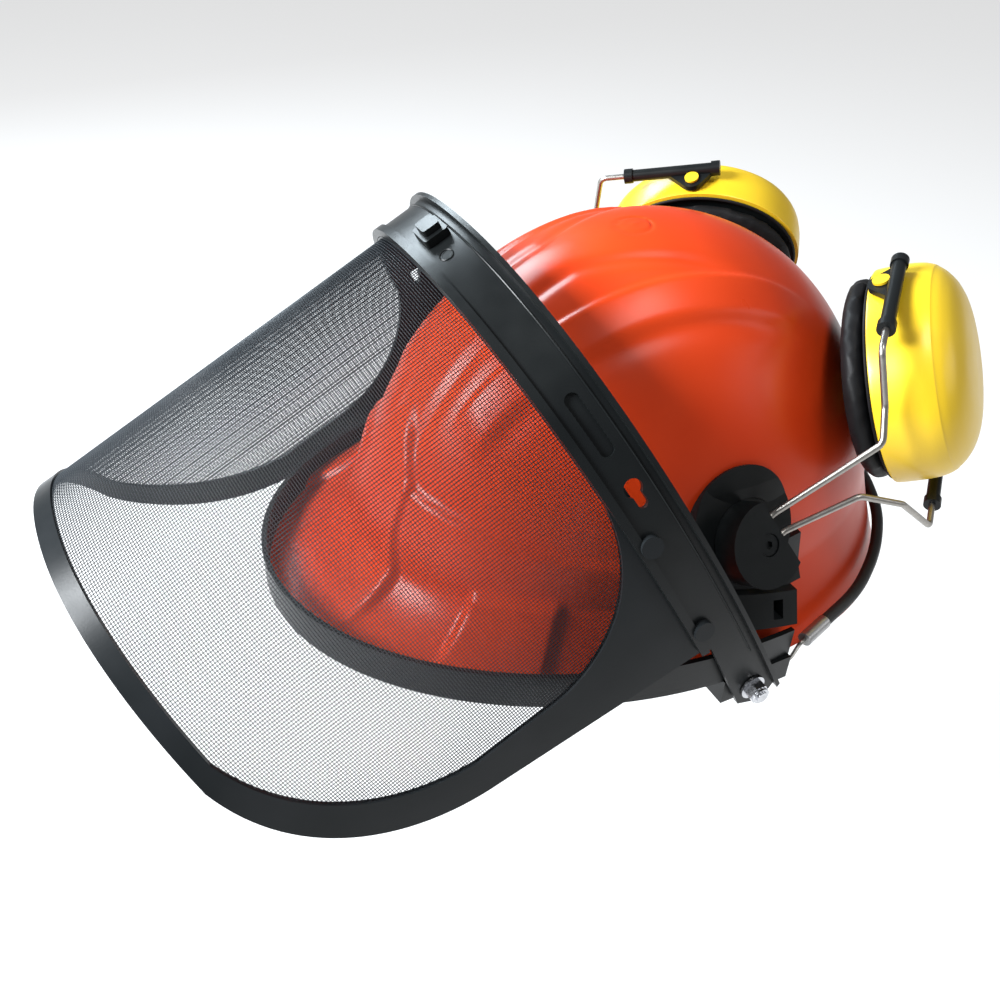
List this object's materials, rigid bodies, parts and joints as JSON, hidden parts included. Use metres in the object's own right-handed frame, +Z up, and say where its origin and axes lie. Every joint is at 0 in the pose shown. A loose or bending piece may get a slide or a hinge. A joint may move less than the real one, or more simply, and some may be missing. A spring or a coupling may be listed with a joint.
{
  "type": "forestry safety helmet",
  "caption": "Forestry safety helmet with a tilting mesh visor, swing-up ear muffs on wire arms and an adjustable head harness.",
  "frame": {"origin": "centre of the head mount, in the plane of the headband at brim level", "axes": "+Z up, -Y is the wearer's front, +X is the wearer's left"},
  "size_m": [0.2526, 0.3834, 0.1969],
  "materials": {
    "shell_orange": "glossy moulded plastic",
    "carrier_black": "fine satin moulded plastic",
    "trim_black": "satin",
    "mesh_grey": "woven mesh",
    "cup_yellow": "satin moulded plastic",
    "cushion_black": "soft matte vinyl over foam",
    "foam_grey": "open foam",
    "steel_wire": "dull spring steel",
    "zinc": "bright zinc plating",
    "elastic_black": "matte",
    "sleeve_grey": "satin",
    "webbing": "woven",
    "sweat_pad": "towelling"
  },
  "bodies": {
    "helmet": {"helmet_shell": "shell_orange", "brim_edge_band": "carrier_black", "rear_elastic_cord": "elastic_black", "headband": "carrier_black", "sweatband": "sweat_pad", "suspension_keys": "carrier_black", "crown_strap_left": "webbing", "crown_strap_right": "webbing", "left_crimp_sleeve": "sleeve_grey", "left_band_hook": "steel_wire", "left_visor_hinge_bolt": "zinc", "left_visor_hinge_washer": "zinc", "left_visor_lock_nut": "zinc", "left_adapter_base": "carrier_black", "left_cap_screw": "carrier_black", "right_crimp_sleeve": "sleeve_grey", "right_band_hook": "steel_wire", "right_visor_hinge_bolt": "zinc", "right_visor_hinge_washer": "zinc", "right_visor_lock_nut": "zinc", "right_adapter_base": "carrier_black", "right_cap_screw": "carrier_black"},
    "visor": {"visor_arch": "carrier_black", "visor_side_frame": "trim_black", "visor_rim_trim": "trim_black", "visor_mesh": "mesh_grey", "visor_mesh_studs": "trim_black", "visor_top_clip": "carrier_black"},
    "nape": {"nape_strap": "carrier_black", "ratchet_housing": "carrier_black"},
    "knob": {"ratchet_knob": "carrier_black", "ratchet_pinion": "carrier_black"},
    "left_turntable": {"left_adapter_cap": "carrier_black", "left_yoke_hinge_pin": "zinc"},
    "left_yoke": {"left_yoke_barrel": "carrier_black", "left_yoke_wire_upper": "steel_wire", "left_yoke_wire_lower": "steel_wire"},
    "left_slides": {"left_slide_tube_upper": "carrier_black", "left_slide_tube_lower": "carrier_black"},
    "left_muff": {"left_cup_shell": "cup_yellow", "left_cup_back_plate": "carrier_black", "left_cup_foam": "foam_grey", "left_ear_cushion": "cushion_black", "left_pivot_buttons": "cup_yellow"},
    "right_turntable": {"right_adapter_cap": "carrier_black", "right_yoke_hinge_pin": "zinc"},
    "right_yoke": {"right_yoke_barrel": "carrier_black", "right_yoke_wire_upper": "steel_wire", "right_yoke_wire_lower": "steel_wire"},
    "right_slides": {"right_slide_tube_upper": "carrier_black", "right_slide_tube_lower": "carrier_black"},
    "right_muff": {"right_cup_shell": "cup_yellow", "right_cup_back_plate": "carrier_black", "right_cup_foam": "foam_grey", "right_ear_cushion": "cushion_black", "right_pivot_buttons": "cup_yellow"}
  },
  "joints": [
    {"name": "visor_tilt", "type": "hinge", "parent": "helmet", "child": "visor", "pos_m": [0, 0.0009, -0.0101], "axis": [1, 0, 0], "range_deg": [-5, 63]},
    {"name": "left_arm_swing", "type": "hinge", "parent": "helmet", "child": "left_turntable", "pos_m": [0.1025, 0.00467, 0.05101], "axis": [0.8648, 0.0453, 0.5], "range_deg": [-110, 0]},
    {"name": "left_arm_spread", "type": "hinge", "parent": "left_turntable", "child": "left_yoke", "pos_m": [0.1003, 0.00875, 0.05205], "axis": [0.4332, 0.436, -0.7888], "range_deg": [0, 20]},
    {"name": "left_cup_slide", "type": "slide", "parent": "left_yoke", "child": "left_slides", "axis": [-0.6512, 0.7313, 0.2027], "range_m": [-0.006, 0.012]},
    {"name": "left_cup_tilt", "type": "hinge", "parent": "left_slides", "child": "left_muff", "pos_m": [0.0714, 0.09752, 0.08749], "axis": [0.1856, 0.4126, -0.8918], "range_deg": [-8, 8]},
    {"name": "right_arm_swing", "type": "hinge", "parent": "helmet", "child": "right_turntable", "pos_m": [-0.1025, 0.00467, 0.05101], "axis": [0.8648, -0.0453, -0.5], "range_deg": [-110, 0]},
    {"name": "right_arm_spread", "type": "hinge", "parent": "right_turntable", "child": "right_yoke", "pos_m": [-0.1003, 0.00875, 0.05205], "axis": [0.4332, -0.436, 0.7888], "range_deg": [0, 20]},
    {"name": "right_cup_slide", "type": "slide", "parent": "right_yoke", "child": "right_slides", "axis": [0.6512, 0.7313, 0.2027], "range_m": [-0.006, 0.012]},
    {"name": "right_cup_tilt", "type": "hinge", "parent": "right_slides", "child": "right_muff", "pos_m": [-0.0714, 0.09752, 0.08749], "axis": [0.1856, -0.4126, 0.8918], "range_deg": [-8, 8]},
    {"name": "nape_slide", "type": "slide", "parent": "helmet", "child": "nape", "axis": [0, 1, 0], "range_m": [-0.015, 0.008]},
    {"name": "knob_turn", "type": "hinge", "parent": "nape", "child": "knob", "pos_m": [0, 0.11, -0.022], "axis": [0, 1, 0], "range_deg": [-275, 150]}
  ],
  "couplings": [
    {"joint": "knob_turn", "follows": "nape_slide", "rad_per_m": 314}
  ]
}
